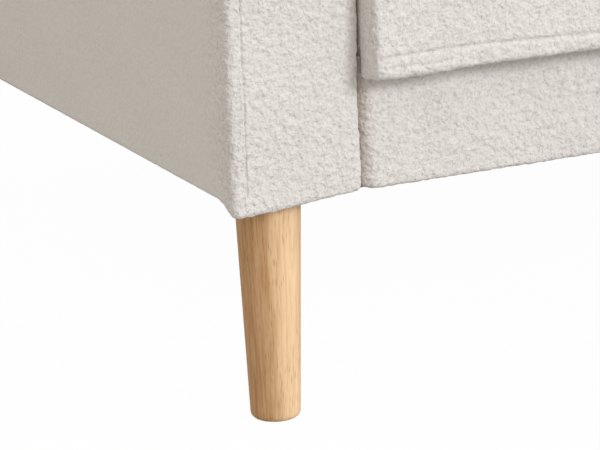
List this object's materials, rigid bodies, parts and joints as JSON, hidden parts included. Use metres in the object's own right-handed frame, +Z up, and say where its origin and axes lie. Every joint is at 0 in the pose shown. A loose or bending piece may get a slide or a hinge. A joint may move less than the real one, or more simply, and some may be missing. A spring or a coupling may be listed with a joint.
{
  "type": "sofa",
  "caption": "Upholstered sofa in looped-pile cloth with slim arms, loose seat and back cushions, a boxed base and tapered round wooden legs.",
  "frame": {"origin": "on the floor under the middle of the sofa's bounding box", "axes": "+X to the viewer's right when facing the front, +Y from the front to the back, +Z up"},
  "size_m": [1.6, 0.86, 0.8092],
  "materials": {
    "looped_cloth": "off-white looped pile",
    "leg_wood": "clear matt lacquer on pale hardwood",
    "frame_timber": "raw sawn softwood",
    "hardboard": "smooth brown fibreboard",
    "foam": "cut foam",
    "fibre_fill": "white fibre wadding",
    "steel": "zinc plated",
    "spring_steel": "dark oiled wire",
    "felt": "pressed felt",
    "platform_cloth": "plain woven cloth",
    "dust_cloth": "black spunbond",
    "webbing": "woven elastic strap",
    "zip_tape": "woven tape with a nylon coil",
    "zip_metal": "nickel plated"
  },
  "bodies": {
    "sofa_frame": {"arm_bottom_rails": "frame_timber", "arm_front_cover_left": "looped_cloth", "arm_front_cover_right": "looped_cloth", "arm_inner_boards": "hardboard", "arm_inner_cover_left": "looped_cloth", "arm_inner_cover_right": "looped_cloth", "arm_outer_cover_left": "looped_cloth", "arm_outer_cover_right": "looped_cloth", "arm_padding_left": "foam", "arm_padding_right": "foam", "arm_posts_left": "frame_timber", "arm_posts_right": "frame_timber", "arm_top_rail_left": "frame_timber", "arm_top_rail_right": "frame_timber", "back_bottom_rail": "frame_timber", "back_inner_cover": "looped_cloth", "back_outer_cover": "looped_cloth", "back_padding": "foam", "back_posts": "frame_timber", "back_top_rail": "frame_timber", "back_webbing": "webbing", "centre_stretcher": "frame_timber", "corner_blocks": "frame_timber", "dust_cover": "dust_cloth", "frame_bolts": "steel", "front_rail": "frame_timber", "front_rail_cover": "looped_cloth", "front_rail_padding": "foam", "leg_front_left": "leg_wood", "leg_front_right": "leg_wood", "leg_glides": "felt", "leg_hanger_bolts": "steel", "leg_mounting_plates": "steel", "leg_plate_screws": "steel", "leg_rear_left": "leg_wood", "leg_rear_right": "leg_wood", "rear_rail": "frame_timber", "seat_deck_cloth": "platform_cloth", "seat_deck_pad": "felt", "seat_springs": "spring_steel", "side_rails": "frame_timber", "spring_clips": "spring_steel"},
    "seat_cushion_left": {"seat_cushion_cover_left": "looped_cloth", "seat_cushion_foam_left": "foam", "seat_zip_left": "zip_tape"},
    "back_cushion_left": {"back_cushion_cover_left": "looped_cloth", "back_cushion_fill_left": "fibre_fill", "back_zip_left": "zip_tape"},
    "seat_cushion_right": {"seat_cushion_cover_right": "looped_cloth", "seat_cushion_foam_right": "foam", "seat_zip_right": "zip_tape"},
    "back_cushion_right": {"back_cushion_cover_right": "looped_cloth", "back_cushion_fill_right": "fibre_fill", "back_zip_right": "zip_tape"},
    "seat_slider_left": {"seat_zip_slider_left": "zip_metal"},
    "seat_slider_right": {"seat_zip_slider_right": "zip_metal"},
    "back_slider_left": {"back_zip_slider_left": "zip_metal"},
    "back_slider_right": {"back_zip_slider_right": "zip_metal"}
  },
  "joints": [
    {"name": "seat_cushion_left_lift", "type": "slide", "parent": "sofa_frame", "child": "seat_cushion_left", "axis": [0, 0, 1], "range_m": [0, 0.42]},
    {"name": "seat_zip_left_slide", "type": "slide", "parent": "seat_cushion_left", "child": "seat_slider_left", "axis": [1, 0, 0], "range_m": [0, 0.446]},
    {"name": "back_cushion_left_lift", "type": "slide", "parent": "sofa_frame", "child": "back_cushion_left", "axis": [0, 0, 1], "range_m": [0, 0.58]},
    {"name": "back_zip_left_slide", "type": "slide", "parent": "back_cushion_left", "child": "back_slider_left", "axis": [1, 0, 0], "range_m": [0, 0.446]},
    {"name": "seat_cushion_right_lift", "type": "slide", "parent": "sofa_frame", "child": "seat_cushion_right", "axis": [0, 0, 1], "range_m": [0, 0.42]},
    {"name": "seat_zip_right_slide", "type": "slide", "parent": "seat_cushion_right", "child": "seat_slider_right", "axis": [-1, 0, 0], "range_m": [0, 0.446]},
    {"name": "back_cushion_right_lift", "type": "slide", "parent": "sofa_frame", "child": "back_cushion_right", "axis": [0, 0, 1], "range_m": [0, 0.58]},
    {"name": "back_zip_right_slide", "type": "slide", "parent": "back_cushion_right", "child": "back_slider_right", "axis": [-1, 0, 0], "range_m": [0, 0.446]}
  ]
}
